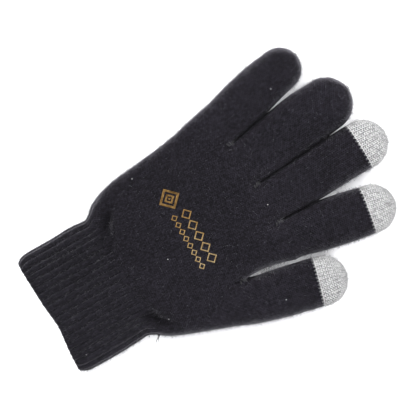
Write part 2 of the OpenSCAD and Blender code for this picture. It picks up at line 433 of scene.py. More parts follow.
def surface(rows, s, layer):
    """Points of one layer of a strip: layer is 1 for the top and -1 for the bottom."""
    left, right = rows["left"], rows["right"]
    width = np.maximum(np.linalg.norm(right - left, axis=1, keepdims=True), 0.05)
    toward = (right - left) / width
    inset = rows["inside"][:, None] * WALL
    left = left + toward * inset * rows["left_fold"][:, None]
    right = right - toward * inset * rows["right_fold"][:, None]
    folds = [rows["left_fold"][:, None], rows["right_fold"][:, None]]
    radii = [rows["left_radius"][:, None], rows["right_radius"][:, None]]
    across, z = oblong(s[None, :], width, *radii)
    fold = mix(folds[0], folds[1], smooth((s[None, :] + 0.5)))
    across = mix((s[None, :] + 1) / 2, across, fold)
    z = mix(1.0, z, fold)
    plan = mix(left[:, None, :], right[:, None, :], across[:, :, None])
    hand_middle = (left_side(plan[:, :, 1]) + right_side(plan[:, :, 1])) / 2
    hand_half = (right_side(plan[:, :, 1]) - left_side(plan[:, :, 1])) / 2
    hand_share = np.clip(1 - ((plan[:, :, 0] - hand_middle) / hand_half) ** 2, 0, 1)
    share = mix(hand_share, 1 - (2 * across - 1) ** 2, rows["own"][:, None])
    tip = rows["tip"][:, None]
    if layer > 0:
        height = (rows["rise"][:, None] - inset + rows["crown"][:, None] * share) * tip
    else:
        height = -(EDGE_HEIGHT - REST - inset) * tip
    return np.concatenate([plan, (EDGE_HEIGHT + z * height)[:, :, None]], 2)


PIECES = ["cuff_lining", "cuff_welt_knit", "cuff_rib_knit", "palm_knit", "knuckle_knit"]
PIECES += [f"{f.name}_{part}_knit" for part in ("lower", "upper", "tip") for f in fingers]
number = {name: i for i, name in enumerate(PIECES)}


def face_pieces(i, rows, plan, hand_count):
    """Which piece each face of strip i belongs to, from the middles of the faces."""
    f = fingers[i]
    middle = (plan[:-1, :-1] + plan[1:, :-1] + plan[:-1, 1:] + plan[1:, 1:]) / 4
    row = np.arange(middle.shape[0])[:, None] + np.zeros(middle.shape[:2], int)
    course_y = rows["course"] * COURSE
    y = ((course_y[:-1] + course_y[1:]) / 2)[:, None] + np.zeros(middle.shape[:2])
    inside = ((rows["inside"][:-1] + rows["inside"][1:]) / 2)[:, None] + np.zeros(row.shape)
    along = (middle - f.root) @ f.along
    piece = np.full(row.shape, number["knuckle_knit"])
    piece[y < thumb_crotch_y] = number["palm_knit"]
    piece[along > -KNUCKLE_BACK] = number[f.name + "_lower_knit"]
    finger_part = row >= hand_count
    beyond = finger_part & (along > f.bend_end())
    piece[beyond] = number[f.name + "_upper_knit"]
    if f.touch is not None:
        first = hand_count + 1 + int(np.argmin(abs(rows["along"] - f.touch)))
        piece[row >= first] = number[f.name + "_tip_knit"]
    piece[y < cuff_length] = number["cuff_rib_knit"]
    piece[y < WELT] = number["cuff_welt_knit"]
    piece[(inside > 0.99) & (y >= WELT)] = number["cuff_lining"]
    return piece


def snap_touch(rows, f):
    """Puts a row of the finger exactly where its touch tip starts."""
    d = rows["along"]
    nearest = int(np.argmin(abs(d - f.touch)))
    shift = (f.touch - d[nearest]) * np.exp(-(((d - f.touch) / 6) ** 2))
    for side in ("left", "right"):
        rows[side] = rows[side] + shift[:, None] * f.along
    rows["along"] = d + shift


def zigzag(rows, s, i, plan, hand_count):
    """Teeth where the colour changes, because each stitch hangs in the one below it."""
    f = fingers[i]
    distance = np.full(len(rows["left"]), -1e3)
    distance[hand_count + 1 :] = rows["along"] - f.touch
    tooth = 0.5 - 0.5 * np.cos((s + 1) / 2 * wales[i] * 2 * math.pi)
    near = np.exp(-((distance / 1.1) ** 2))
    skew = np.exp(-((distance / 7) ** 2))[:, None] * mix(*TOUCH_SKEW[f.name], (s + 1) / 2)
    return plan + (near[:, None] * (tooth - 0.5) * TOOTH + skew)[:, :, None] * f.along


def build_strip(i):
    """The top and the bottom layer of a strip: points, their data, faces and faces' pieces.

    The data's columns are wale, course, share of ribbing, inside, layer and strip.
    """
    f = fingers[i]
    hand, finger = hand_rows(i, True), finger_rows(i)
    if f.touch is not None:
        snap_touch(finger, f)
    hand_count = len(hand["left"]) - 1
    rows = {k: np.concatenate([hand[k], finger[k]]) for k in hand}
    rows["along"] = finger["along"]
    columns = wales[i] * WALE_SAMPLES + 1
    s = np.linspace(-1, 1, columns)
    made = []
    for layer in (1, -1):
        points = surface(rows, s, layer)
        if f.touch is not None:
            points[:, :, :2] = zigzag(rows, s, i, points[:, :, :2], hand_count)
        wale = first_wale[i] + (s + 1) / 2 * wales[i]
        count = points.shape[0] * columns
        data = np.zeros((count, 6))
        data[:, 0] = np.tile(wale, points.shape[0])
        data[:, 1] = np.repeat(rows["course"], columns)
        rib = 1 - smooth((rows["course"] * COURSE - cuff_length + 3) / 11)
        data[:, 2] = np.repeat(rib, columns)
        data[:, 3] = np.repeat(rows["inside"], columns)
        data[:, 4] = layer
        data[:, 5] = i
        grid = np.arange(count).reshape(points.shape[0], columns)
        a, b, c, d = grid[:-1, :-1], grid[:-1, 1:], grid[1:, 1:], grid[1:, :-1]
        order = (a, b, c, d) if layer > 0 else (d, c, b, a)
        faces = quads(*order)
        piece = face_pieces(i, rows, points[:, :, :2], hand_count).ravel()
        made.append((points.reshape(-1, 3), data, faces, piece))
    return made


def quads(*corners):
    """One four-sided face for each place in four grids of point numbers."""
    return np.stack([grid.ravel() for grid in corners], 1)


def weld(points, data, faces):
    """Joins the points that lie on the same spot, and drops the faces that collapse."""
    key = np.round(points / 0.002).astype(np.int64)
    _, first, same = np.unique(key, axis=0, return_index=True, return_inverse=True)
    same = same.ravel()
    return points[first], data[first], same[faces]


def build_skin():
    points, data, faces, pieces, start = [], [], [], [], 0
    for i in range(5):
        for p, q, f, labels in build_strip(i):
            points.append(p)
            data.append(q)
            faces.append(f + start)
            pieces.append(labels)
            start += len(p)
    points, data, faces = weld(np.concatenate(points), np.concatenate(data), np.concatenate(faces))
    return points, data, faces, np.concatenate(pieces)


# ---------------------------------------------------------------- relief of the knitting


def vertex_normals(points, faces):
    corners = points[faces]
    normal = np.cross(corners[:, 2] - corners[:, 0], corners[:, 3] - corners[:, 1])
    total = np.zeros_like(points)
    for k in range(4):
        np.add.at(total, faces[:, k], normal)
    length = np.linalg.norm(total, axis=1, keepdims=True)
    return total / np.maximum(length, 1e-12)


def ripples(x, y, scale, count, seed):
    """Smooth noise between about -1 and 1, with features about scale mm across."""
    chance = np.random.default_rng(seed)
    angle = chance.uniform(0, 2 * math.pi, count)
    phase = chance.uniform(0, 2 * math.pi, count)
    pitch = 2 * math.pi / (scale * chance.uniform(0.7, 1.6, count))
    total = np.zeros_like(x)
    for a, p, k in zip(angle, phase, pitch):
        total += np.sin(k * (x * math.cos(a) + y * math.sin(a)) + p)
    return total / math.sqrt(count / 2) / 1.6


def stitch_relief(wale, course):
    """The stitches' own relief, from 0 to 1: a slanted leg on either side of each middle."""
    aside = np.abs(wale % 1 - 0.5)
    return 0.5 + 0.5 * np.cos(2 * math.pi * (aside - LEG_FOOT - LEG_SLANT * (course % 1)))


def dent(points, x, y, long, wide, angle):
    """A soft dent's share, 1 in its middle, given from the mouth of the cuff."""
    at = points[:, :2] - place(x, y)
    c, s = math.cos(math.radians(angle)), math.sin(math.radians(angle))
    u = (at[:, 0] * c + at[:, 1] * s) / long
    v = (at[:, 1] * c - at[:, 0] * s) / wide
    return np.exp(-(u * u + v * v))


def rib_profile(wale):
    """Broad round ribs with narrow furrows between them, from -1 to 1."""
    from_furrow = np.abs(wale % 4 - 2)
    ridge = np.sin(math.pi / 4 * np.clip(from_furrow, 0, 2)) ** 0.7
    return 2 * ridge - 1.35


def dents(points):
    """Pits and creases in the top layer, in mm of depth."""
    depth = np.zeros(len(points))
    # Where the wide hand is drawn into the narrow rib, a pit lies inside each corner
    for x, y, long, wide, angle, deep in WRIST_PITS:
        depth += deep * dent(points, x, y, long, wide, angle)
    # Behind each crotch the stitches draw the cloth together
    for crotch in [*crotches, thumb_crotch]:
        x, y = from_mouth(crotch)
        for side in (-1, 1):
            depth += 0.7 * dent(points, x + side * 1.9, y - 4.2, 1.3, 4.2, -16 * side)
        depth -= 0.5 * dent(points, x, y - 3.0, 1.0, 3.4, 0)
    return depth


# x, y, half length, half width, angle and depth. A negative depth is a ridge.
WRIST_PITS = [
    (-30.0, 54.8, 9.0, 3.1, -38, 3.0),
    (-23.5, 58.5, 10.0, 3.4, -34, -0.8),
    (-17.0, 50.5, 8.0, 3.0, -24, 1.0),
    (-8.0, 56.5, 7.0, 3.0, -12, 0.5),
    (32.0, 52.6, 8.5, 3.0, 40, 2.9),
    (26.0, 57.0, 9.5, 3.4, 34, -0.7),
    (20.0, 49.5, 8.0, 2.8, 24, 0.9),
]


def add_relief(points, data, faces):
    wale, course, rib, inside = data.T[:4]
    normal = vertex_normals(points, faces)
    up = smooth((points[:, 2] - EDGE_HEIGHT + 0.5) / 3) * (inside < 0.5)
    y = points[:, 1] - mouth_y
    x = points[:, 0] - middle_x
    relief = rib * RIB_HEIGHT * rib_profile(wale) * (1 - 2 * inside)
    relief += STITCH_HEIGHT * (stitch_relief(wale, course) - 0.5)
    # Slack cloth over the hand and fingers, and short gathers where the rib pulls it in
    slack = smooth((y - cuff_length) / 30) * up
    relief += 0.38 * slack * ripples(x, y, 26, 9, 1)
    relief += 0.1 * up * ripples(x, y, 9, 12, 2)
    relief += 0.06 * ripples(x, y, 4.5, 12, 4) * (0.4 + 0.6 * up)
    gather = np.exp(-(((y - cuff_length - 6) / 6) ** 2)) * up
    relief += 0.35 * gather * ripples(wale * 1.1, y * 0.15, 7, 8, 3)
    relief -= up * dents(points)
    moved = points + normal * relief[:, None]
    moved[:, 2] = np.maximum(moved[:, 2], 0.02)
    return moved


# ---------------------------------------------------------------- meshes from arrays


def new_mesh(name, points, faces, normals=None):
    """A mesh object from points in mm."""
    mesh = bpy.data.meshes.new(name)
    mesh.vertices.add(len(points))
    mesh.vertices.foreach_set("co", (points * MM).astype(np.float32).ravel())
    if isinstance(faces, list):
        sizes = np.array([len(f) for f in faces])
        flat = np.concatenate(faces)
    else:
        # A four-sided face with two corners in one spot is a triangle
        real = faces != np.roll(faces, -1, 1)
        real[real.sum(1) < 3] = False
        sizes = real.sum(1)[real.any(1)]
        flat = faces[real]
    mesh.loops.add(len(flat))
    mesh.loops.foreach_set("vertex_index", flat.astype(np.int32))
    mesh.polygons.add(len(sizes))
    starts = np.concatenate([[0], np.cumsum(sizes)[:-1]])
    mesh.polygons.foreach_set("loop_start", starts.astype(np.int32))
    mesh.update(calc_edges=True)
    mesh.validate()
    mesh.shade_smooth()
    if normals is not None:
        mesh.normals_split_custom_set_from_vertices(normals.astype(np.float32))
    obj = bpy.data.objects.new(name, mesh)
    bpy.context.scene.collection.objects.link(obj)
    return obj


def add_values(obj, name, values):
    kind = "FLOAT" if values.ndim == 1 else "FLOAT_VECTOR"
    attribute = obj.data.attributes.new(name, kind, "POINT")
    field = "value" if values.ndim == 1 else "vector"
    attribute.data.foreach_set(field, values.astype(np.float32).ravel())


def cut_piece(name, points, data, faces, normals, chosen):
    """One piece of the skin, with its own points and the whole skin's normals."""
    own = faces[chosen]
    used, own = np.unique(own, return_inverse=True)
    own = own.reshape(-1, 4)
    obj = new_mesh(name, points[used], own, normals[used])
    add_values(obj, "stitch", data[used][:, :3])
    # the painted crease shade
    add_values(obj, "pressed", data[used][:, 6])
    # the painted rim highlight
    add_values(obj, "fluffed", data[used][:, 7])
    return obj


# ---------------------------------------------------------------- materials


class Nodes:
    """A short way to write a material's node tree."""

    def __init__(self, name):
        self.material = bpy.data.materials.new(name)
        self.material.use_nodes = True
        self.tree = self.material.node_tree
        self.shader = self.tree.nodes["Principled BSDF"]

    def add(self, kind, inputs=None, **settings):
        node = self.tree.nodes.new(kind)
        for key, value in settings.items():
            setattr(node, key, value)
        for key, value in (inputs or {}).items():
            self.set(node.inputs[key], value)
        return node

    def set(self, socket, value):
        if isinstance(value, bpy.types.NodeSocket):
            self.tree.links.new(value, socket)
        else:
            socket.default_value = value

    def look(self, **values):
        """Sets the shader's sockets, whose names are given with _ for a space."""
        for key, value in values.items():
            self.set(self.shader.inputs[key.replace("_", " ")], value)

    def bump(self, height, distance, strength):
        inputs = {"Height": height, "Distance": distance, "Strength": strength}
        self.look(Normal=self.add("ShaderNodeBump", inputs).outputs[0])

    def attribute(self, name):
        return self.add("ShaderNodeAttribute", attribute_name=name)

    def math(self, operation, a, b=0.0, c=0.0, clamp=False):
        node = self.add("ShaderNodeMath", {0: a, 1: b, 2: c}, operation=operation)
        node.use_clamp = clamp
        return node.outputs[0]

    def weighted(self, start, *terms):
        """start plus each value times its weight."""
        for value, weight in terms:
            start = self.math("MULTIPLY_ADD", value, weight, start)
        return start

    def noise(self, scale, detail, roughness, vector):
        inputs = {"Scale": scale, "Detail": detail, "Roughness": roughness, "Vector": vector}
        return self.add("ShaderNodeTexNoise", inputs).outputs["Fac"]

    def ramp(self, value, stops):
        node = self.add("ShaderNodeValToRGB", {"Fac": value})
        elements = node.color_ramp.elements
        while len(elements) < len(stops):
            elements.new(0.5)
        for element, (position, colour) in zip(elements, stops):
            element.position = position
            element.color = (*colour, 1)
        return node.outputs["Color"]

    def remap(self, value, low, high, new_low, new_high):
        inputs = {"Value": value, 1: low, 2: high, 3: new_low, 4: new_high}
        return self.add("ShaderNodeMapRange", inputs).outputs[0]


def knit_height(n):
    """Height of each stitch's two slanted legs, their plies, a chance for each leg, and holes."""
    split = n.add("ShaderNodeSeparateXYZ", {0: n.attribute("stitch").outputs["Vector"]})
    wale, course = split.outputs[0], split.outputs[1]
    aside = n.math("ABSOLUTE", n.math("SUBTRACT", n.math("FRACT", wale), 0.5))
    rise = n.math("FRACT", course)
    slant = n.math("MULTIPLY_ADD", rise, LEG_SLANT, LEG_FOOT)
    leg = leg_bump(n, n.math("SUBTRACT", aside, slant))
    top = leg_bump(n, n.math("SUBTRACT", aside, n.math("ADD", slant, LEG_SLANT)))
    ending = n.remap(rise, 0.0, 0.45, 0.8, 0.0)
    height = n.math("MAXIMUM", leg, n.math("MULTIPLY", top, ending))
    along_leg = n.weighted(0.0, (course, 2.0), (aside, 3.0))
    plies = n.math("SINE", n.math("MULTIPLY", along_leg, 2 * math.pi))
    one_leg = n.add(
        "ShaderNodeCombineXYZ",
        {0: n.math("FLOOR", n.math("MULTIPLY", wale, 2.0)), 1: n.math("FLOOR", course)},
    )
    chance = n.add("ShaderNodeTexWhiteNoise", {"Vector": one_leg.outputs[0]}).outputs["Value"]
    turns = [n.math("COSINE", n.math("MULTIPLY", v, 2 * math.pi)) for v in (wale, course)]
    return height, plies, chance, n.math("ADD", *turns)


def leg_bump(n, off):
    """A round yarn's height at a distance from its middle."""
    share = n.math("DIVIDE", off, LEG_WIDTH)
    return n.math("SUBTRACT", 1.0, n.math("MULTIPLY", share, share), clamp=True)


def place_vector(n):
    """The point's own place, so that a pattern stays on the cloth when it bends."""
    return n.add("ShaderNodeTexCoord").outputs["Object"]


LINT_SPACING, LINT_SIZE, LINT_SHARE = 0.026, 0.0003, 0.25  # metres, metres, share of cells


def with_lint(n, colour, where):
    """Adds the few specks of white lint that black knitting picks up."""
    cells = n.add(
        "ShaderNodeTexVoronoi",
        {"Vector": where, "Scale": 1 / LINT_SPACING},
        voronoi_dimensions="2D",
    )
    near = n.math("LESS_THAN", cells.outputs["Distance"], LINT_SIZE / LINT_SPACING)
    chance = n.add("ShaderNodeSeparateColor", {0: cells.outputs["Color"]}).outputs[0]
    speck = n.math("MULTIPLY", near, n.math("LESS_THAN", chance, LINT_SHARE))
    mixed = n.add("ShaderNodeMix", {0: speck}, data_type="RGBA")
    n.set(mixed.inputs[6], colour)
    n.set(mixed.inputs[7], (0.3, 0.3, 0.31, 1))
    return mixed.outputs[2]


SHEEN = 0.355  # share of light that the black yarn's fuzz sends back at the edges
EDGE_SHEEN = 2.1  # times that at the rounded outer sides, a painted rim highlight


def black_knit():
    """Charcoal acrylic yarn: matt, fuzzy, a little lighter on the crests of the stitches, with
    painted shade in the grooves between their legs.
    """
    n = Nodes("black_knit")
    height, plies, chance, _ = knit_height(n)
    where = place_vector(n)
    mottle = n.noise(900.0, 3.0, 0.7, where)
    cloudy = n.noise(30.0, 3.0, 0.55, where)
    fibre = n.noise(2600.0, 2.0, 0.7, where)
    speckle = n.remap(mottle, 0.36, 0.64, 0.0, 1.0)
    # Painted shade: the yarn in the crease between two fingers and in a deep fold is made darker and
    # given less sheen
    pressed = n.attribute("pressed").outputs["Fac"]
    # The height term is painted shade in the grooves between the legs; speckle, cloudy and chance
    # are the yarn's random tone
    shade = n.weighted(
        -0.04, (height, 0.4), (speckle, 0.22), (cloudy, 0.2), (chance, 0.2), (pressed, -0.15)
    )
    colour = n.ramp(
        shade,
        [(0.24, (0.0004, 0.0004, 0.0006)), (0.5, (0.0039, 0.0034, 0.0051)),
         (0.8, (0.0165, 0.0148, 0.021))],
    )
    fuzz_and_rim_sheen = n.remap(shade, 0.2, 0.8, 0.35 * SHEEN, 1.65 * SHEEN)
    fluffed = n.attribute("fluffed").outputs["Fac"]
    crease_sheen_cut = n.remap(pressed, 0.0, 1.0, 1.0, 0.2)
    # Painted rim highlight: more sheen at the rounded outer sides
    fuzz_and_rim_sheen = n.math("MULTIPLY", fuzz_and_rim_sheen, n.remap(fluffed, 0.0, 1.0, 1.0, EDGE_SHEEN))
    n.look(
        Base_Color=with_lint(n, colour, where), Specular_IOR_Level=0.1,
        Roughness=n.remap(fibre, 0.3, 0.7, 0.86, 1.0),
        Sheen_Weight=n.math("MULTIPLY", fuzz_and_rim_sheen, crease_sheen_cut), Sheen_Roughness=0.38,
        Sheen_Tint=(0.78, 0.75, 0.84, 1),
    )
    n.bump(n.weighted(height, (fibre, 0.5), (mottle, 0.35), (plies, 0.06)), 0.00022, 0.6)
    return n.material


def conductive_knit():
    """Pale grey yarn with painted shade in the pits between the stitches, and grey metallic flecks.
    """
    n = Nodes("conductive_knit")
    height, plies, chance, holes = knit_height(n)
    where = place_vector(n)
    mottle = n.noise(900.0, 2.0, 0.7, where)
    fibre = n.noise(2600.0, 2.0, 0.7, where)
    speckle = n.remap(mottle, 0.36, 0.64, 0.0, 1.0)
    # The height and hole terms are painted shade, darker between the legs and in the holes between
    # stitches; speckle and chance are the yarn's random tone
    level = n.weighted(0.02, (height, 0.6), (speckle, 0.26), (holes, -0.1), (chance, 0.24))
    colour = n.ramp(
        level,
        [(0.12, (0.02, 0.02, 0.023)), (0.4, (0.085, 0.085, 0.09)), (0.66, (0.31, 0.31, 0.31)),
         (0.98, (0.57, 0.57, 0.565))],
    )
    n.look(
        Base_Color=colour, Roughness=n.remap(fibre, 0.3, 0.7, 0.62, 0.85),
        Specular_IOR_Level=0.3, Sheen_Weight=0.2, Sheen_Roughness=0.5,
    )
    n.bump(n.weighted(height, (fibre, 0.12), (plies, 0.12)), 0.0004, 0.9)
    return n.material


def gold_foil():
    """Pressed foil: brownish gold, mottled, and paler towards the thumb's side."""
    n = Nodes("gold_foil")
    where = place_vector(n)
    across = n.add("ShaderNodeSeparateXYZ", {0: where}).outputs[0]
    patch = n.noise(450.0, 3.0, 0.7, where)
    grain = n.noise(1500.0, 3.0, 0.7, where)
    paler = n.remap(across, -0.032, 0.02, 0.0, 0.35)
    colour = n.ramp(
        n.weighted(paler, (patch, 0.75)),
        [(0.25, (0.06, 0.028, 0.006)), (0.5, (0.24, 0.14, 0.045)), (0.85, (0.4, 0.32, 0.18))],
    )
    n.look(Base_Color=colour, Metallic=0.85, Roughness=n.remap(grain, 0.3, 0.7, 0.3, 0.55))
    n.bump(grain, 0.0001, 0.5)
    return n.material


def yarn(name, dark, light):
    """Loose yarn with its twist, for stitches, tails and the covered elastic."""
    n = Nodes(name)
    where = place_vector(n)
    fibre = n.noise(2200.0, 3.0, 0.7, where)
    patch = n.noise(300.0, 2.0, 0.5, where)
    n.look(
        Base_Color=n.ramp(patch, [(0.3, dark), (0.75, light)]),
        Roughness=n.remap(fibre, 0.3, 0.7, 0.8, 1.0), Sheen_Weight=0.1,
    )
    n.bump(fibre, 0.0002, 0.8)
    return n.material


def dress(obj, material, slot, *replaced):
    obj.data.materials.clear()
    obj.data.materials.append(material)
    if replaced:
        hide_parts(*replaced)
    return obj


# ---------------------------------------------------------------- the skin's pieces


def at(point, z=5.5):
    return (float(point[0]) * MM, float(point[1]) * MM, z * MM)


# How far up the glove, from the mouth, each finger is on its own
FINGER_STARTS = [knuckle_line - mouth_y] * 4 + [thumb_crotch_y]


def nearest_to(spots):
    """A tree that finds the nearest of these spots."""
    tree = KDTree(len(spots))
    for k, spot in enumerate(spots):
        tree.insert(spot, k)
    tree.balance()
    return tree


def gap_beside(spots, strips):
    """Distance from each spot to the nearest point across the gap to a neighbouring finger."""
    gap = np.full(len(spots), 100.0)
    for i in range(4):
        foot = FINGER_STARTS[i + 1] + 1
        for own, other in ((i, i + 1), (i + 1, i)):
            facing = points[(data[:, 5] == other) & (data[:, 1] * COURSE > foot)][::5]
            tree = nearest_to(facing)
            for k in np.where(strips == own)[0]:
                gap[k] = min(gap[k], tree.find(spots[k])[2])
    return gap


FOLD_SHADE = 0.8  # how much of the painted crease shade a deep fold at the wrist gets
FOLD_DEPTH = 2.0  # mm, how deep a pit has to be to count as one


def crease_shade_share():
    """Painted shade: 1 on the sides of fingers that lie against each other, part of that in deep
    folds.
    """
    share = np.zeros(len(points))
    start = np.array(FINGER_STARTS)[data[:, 5].astype(int)] - 2
    start[data[:, 5] == 3] = thumb_crotch_y
    in_finger = data[:, 1] * COURSE > start
    side = np.where(in_finger & (np.abs(normals[:, 2]) < 0.9))[0]
    share[side] = 1 - smooth((gap_beside(points[side], data[side, 5]) - 1.0) / 2.2)
    for x, y, long, wide, angle, depth in WRIST_PITS:
        if depth > FOLD_DEPTH:
            fold = dent(points, x, y, long, wide, angle)
            share = np.maximum(share, FOLD_SHADE * fold * (normals[:, 2] > 0))
    return share


RIM_SHEEN_REACH = 7.5  # mm from the outer sides over which the sheen is raised, a painted rim highlight


def rim_sheen_share(pressed):
    """Where the painted rim highlight lies: 1 at the rounded outer sides, fading to 0 inwards and
    towards the table.
    """
    outside = (data[:, 3] < 0.05) & (data[:, 1] * COURSE > 2)
    side = points[outside & (np.abs(normals[:, 2]) < 0.3) & (pressed < 0.2)][::3, :2]
    tree = nearest_to([(x, y, 0) for x, y in side])
    distance = np.array([tree.find((x, y, 0))[2] for x, y in points[:, :2]])
    return (1 - smooth(distance / RIM_SHEEN_REACH)) * smooth(points[:, 2] / 2) * (1 - pressed)


points, data, faces, labels = build_skin()
points = add_relief(points, data, faces)
normals = vertex_normals(points, faces)
# Painted shade in the creases between fingers and in the deep folds at the wrist
pressed = crease_shade_share()
# The painted crease shade and the painted rim highlight go with each point
data = np.column_stack([data, pressed, rim_sheen_share(pressed)])
knit, tip_knit, foil = black_knit(), conductive_knit(), gold_foil()
dark_fibre = yarn("dark_fibre", (0.04, 0.04, 0.046), (0.12, 0.12, 0.134))
pale_fibre = yarn("pale_fibre", (0.2, 0.2, 0.2), (0.5, 0.5, 0.5))
thread = yarn("loose_yarn", (0.002, 0.002, 0.003), (0.009, 0.0085, 0.011))
elastic = yarn("covered_elastic", (0.02, 0.02, 0.024), (0.06, 0.06, 0.068))

skin = {}
for piece_name in PIECES:
    chosen = labels == number[piece_name]
    if chosen.any():
        skin[piece_name] = cut_piece(piece_name, points, data, faces, normals, chosen)


def bend_of_wrist(obj):
    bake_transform(obj)


def bend_of_knuckle(obj, f):
    start, end = f.root - KNUCKLE_BACK * f.along, f.root + f.bend_end() * f.along
    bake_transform(obj)


def bend_of_middle(obj, f):
    lean = abs(f.across[1])
    reach = (f.joint - f.bend_end()) * f.along[1] - (f.width / 2 + JOINT_SPARE) * lean
    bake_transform(obj)


def follow(obj, piece):
    """Puts an object on the cuff's, the hand's or a finger's upper body, as its piece of skin rides;
    for the rib, palm and fingers' lower and upper pieces it only bakes the transform.
    """
    if piece in ("cuff_lining", "cuff_welt_knit"):
        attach(obj, "cuff")
    elif piece in ("cuff_rib_knit", "palm_knit"):
        bend_of_wrist(obj)
    elif piece == "knuckle_knit":
        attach(obj, "hand")
    for f in fingers:
        if piece == f.name + "_lower_knit":
            bend_of_knuckle(obj, f)
        elif piece == f.name + "_upper_knit":
            bend_of_middle(obj, f)
        elif piece == f.name + "_tip_knit":
            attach(obj, f.name + "_upper")


STANDS_FOR = {
    "cuff_welt_knit": "cuff_welt", "cuff_rib_knit": "cuff_rib", "palm_knit": "hand_lower",
    "knuckle_knit": "hand_upper",
}
for f in fingers:
    for part, node in (("lower", "stall_lower"), ("upper", "stall_upper"), ("tip", "touch_tip")):
        STANDS_FOR[f"{f.name}_{part}_knit"] = f"{f.name}_{node}"
for piece, obj in skin.items():
    touch = piece.endswith("_tip_knit")
    dress(obj, tip_knit if touch else knit, "conductive_knit" if touch else "black_knit")
    follow(obj, piece)
    if piece in STANDS_FOR:
        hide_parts(STANDS_FOR[piece])


# ---------------------------------------------------------------- fuzz

FUZZ = 20000  # loose fibres
CRUSHED = 2.4  # mm between two fingers where no fibre stands up any more
FIBRE_RADIUS = 0.036  # at the root, and half of that at the tip
FLATTEST = 0.9  # fibres stand where the cloth's normal leans more than this from upright
LEAN, CURL = 0.75, 0.75  # spread of the fibres' directions and of their curls


def fibres():
    """The face that each short curled fibre stands on, and its points from the root out."""
    corners = points[faces]
    centre = corners.mean(1)
    area = np.linalg.norm(
        np.cross(corners[:, 2] - corners[:, 0], corners[:, 3] - corners[:, 1]), axis=1
    )
    normal = normals[faces].mean(1)
    side = np.clip(FLATTEST - np.abs(normal[:, 2]), 0.01, 1)
    outside = (data[faces][:, :, 3] < 0.4).all(1) & (centre[:, 2] > 0.9)
    weight = area * side * outside * (1 - data[faces][:, :, 6].mean(1))
    chosen = rng.choice(len(faces), FUZZ, p=weight / weight.sum())
    share = rng.uniform(0, 1, (FUZZ, 2, 1))
    low = mix(corners[chosen, 0], corners[chosen, 1], share[:, 0])
    high = mix(corners[chosen, 3], corners[chosen, 2], share[:, 0])
    root = mix(low, high, share[:, 1])
    out = normal[chosen]
    lean = rng.normal(0, 1, (FUZZ, 3)) * LEAN
    curl = rng.normal(0, 1, (FUZZ, 3)) * CURL
    length = rng.uniform(0.4, 1.1, (FUZZ, 1)) + 0.9 * rng.uniform(0, 1, (FUZZ, 1)) ** 4
    t = np.array([-0.12, 0.3, 0.65, 1.0])[None, :, None]
    path = root[:, None] + length[:, None] * (
        (out + lean * 0.6)[:, None] * t + curl[:, None] * t**2
    )
    path[:, :, 2] = np.maximum(path[:, :, 2], 0.08)
    keep = gap_beside(root, data[faces[chosen, 0], 5]) > CRUSHED
    return chosen[keep], path[keep]


def fibre_mesh(path):
    """Three-sided closed spikes along many short paths at once."""
    count, steps = path.shape[:2]
    forward = path[:, -1] - path[:, 0]
    forward /= np.linalg.norm(forward, axis=1, keepdims=True)
    aside = np.cross(forward, [0.31, 0.52, 0.79])
    aside /= np.linalg.norm(aside, axis=1, keepdims=True)
    over = np.cross(aside, forward)
    size = FIBRE_RADIUS * np.linspace(1, 0.5, steps)
    rings = []
    for k in range(3):
        turn = 2 * math.pi * k / 3
        direction = aside * math.cos(turn) + over * math.sin(turn)
        rings.append(path + direction[:, None] * size[None, :, None])
    vertices = np.stack(rings, 2).reshape(-1, 3)
    base = (np.arange(count) * steps * 3)[:, None]
    made = []
    for step in range(steps - 1):
        for k in range(3):
            a, b = step * 3 + k, step * 3 + (k + 1) % 3
            made.append(base + [a, b, b + 3, a + 3])
    last = (steps - 1) * 3
    ends = list(base + [2, 1, 0]) + list(base + [last, last + 1, last + 2])
    return vertices, list(np.concatenate(made)) + ends


standing_on, fibre_paths = fibres()
for piece in PIECES:
    own = fibre_paths[labels[standing_on] == number[piece]]
    if len(own) and piece != "cuff_lining":
        touch = piece.endswith("_tip_knit")
        fuzz = new_mesh(piece + "_fuzz", *fibre_mesh(own))
        slot = "conductive_knit" if touch else "black_knit"
        follow(dress(fuzz, pale_fibre if touch else dark_fibre, slot), piece)


# ---------------------------------------------------------------- small pieces


def tube(path, radius, sides=6, closed=False, taper=None):
    """Points and faces of a round yarn along a path of points in mm."""
    path = np.asarray(path, float)
    count = len(path)
    if closed:
        forward = np.roll(path, -1, 0) - np.roll(path, 1, 0)
    else:
        forward = np.gradient(path, axis=0)
    forward /= np.linalg.norm(forward, axis=1, keepdims=True)
    up = np.where(np.abs(forward[:, 2:]) < 0.9, [[0.0, 0.0, 1.0]], [[1.0, 0.0, 0.0]])
    aside = np.cross(forward, up)
    aside /= np.linalg.norm(aside, axis=1, keepdims=True)
    over = np.cross(aside, forward)
    turn = np.arange(sides) / sides * 2 * math.pi
    size = radius * (np.ones(count) if taper is None else taper)
    ring = aside[:, None] * np.cos(turn)[None, :, None] + over[:, None] * np.sin(turn)[None, :, None]
    vertices = path[:, None] + ring * size[:, None, None]
    grid = np.arange(count * sides).reshape(count, sides)
    if closed:
        low, high = grid, np.roll(grid, -1, 0)
    else:
        low, high = grid[:-1], grid[1:]
    made = list(quads(low, high, np.roll(high, -1, 1), np.roll(low, -1, 1)))
    if not closed:
        made += [grid[0], grid[-1][::-1]]
    return vertices.reshape(-1, 3), made


def joined(parts):
    """Puts several (points, faces) together."""
    points, faces, start = [], [], 0
    for p, f in parts:
        points.append(p)
        faces += [np.asarray(face) + start for face in f]
        start += len(p)
    return np.concatenate(points), faces


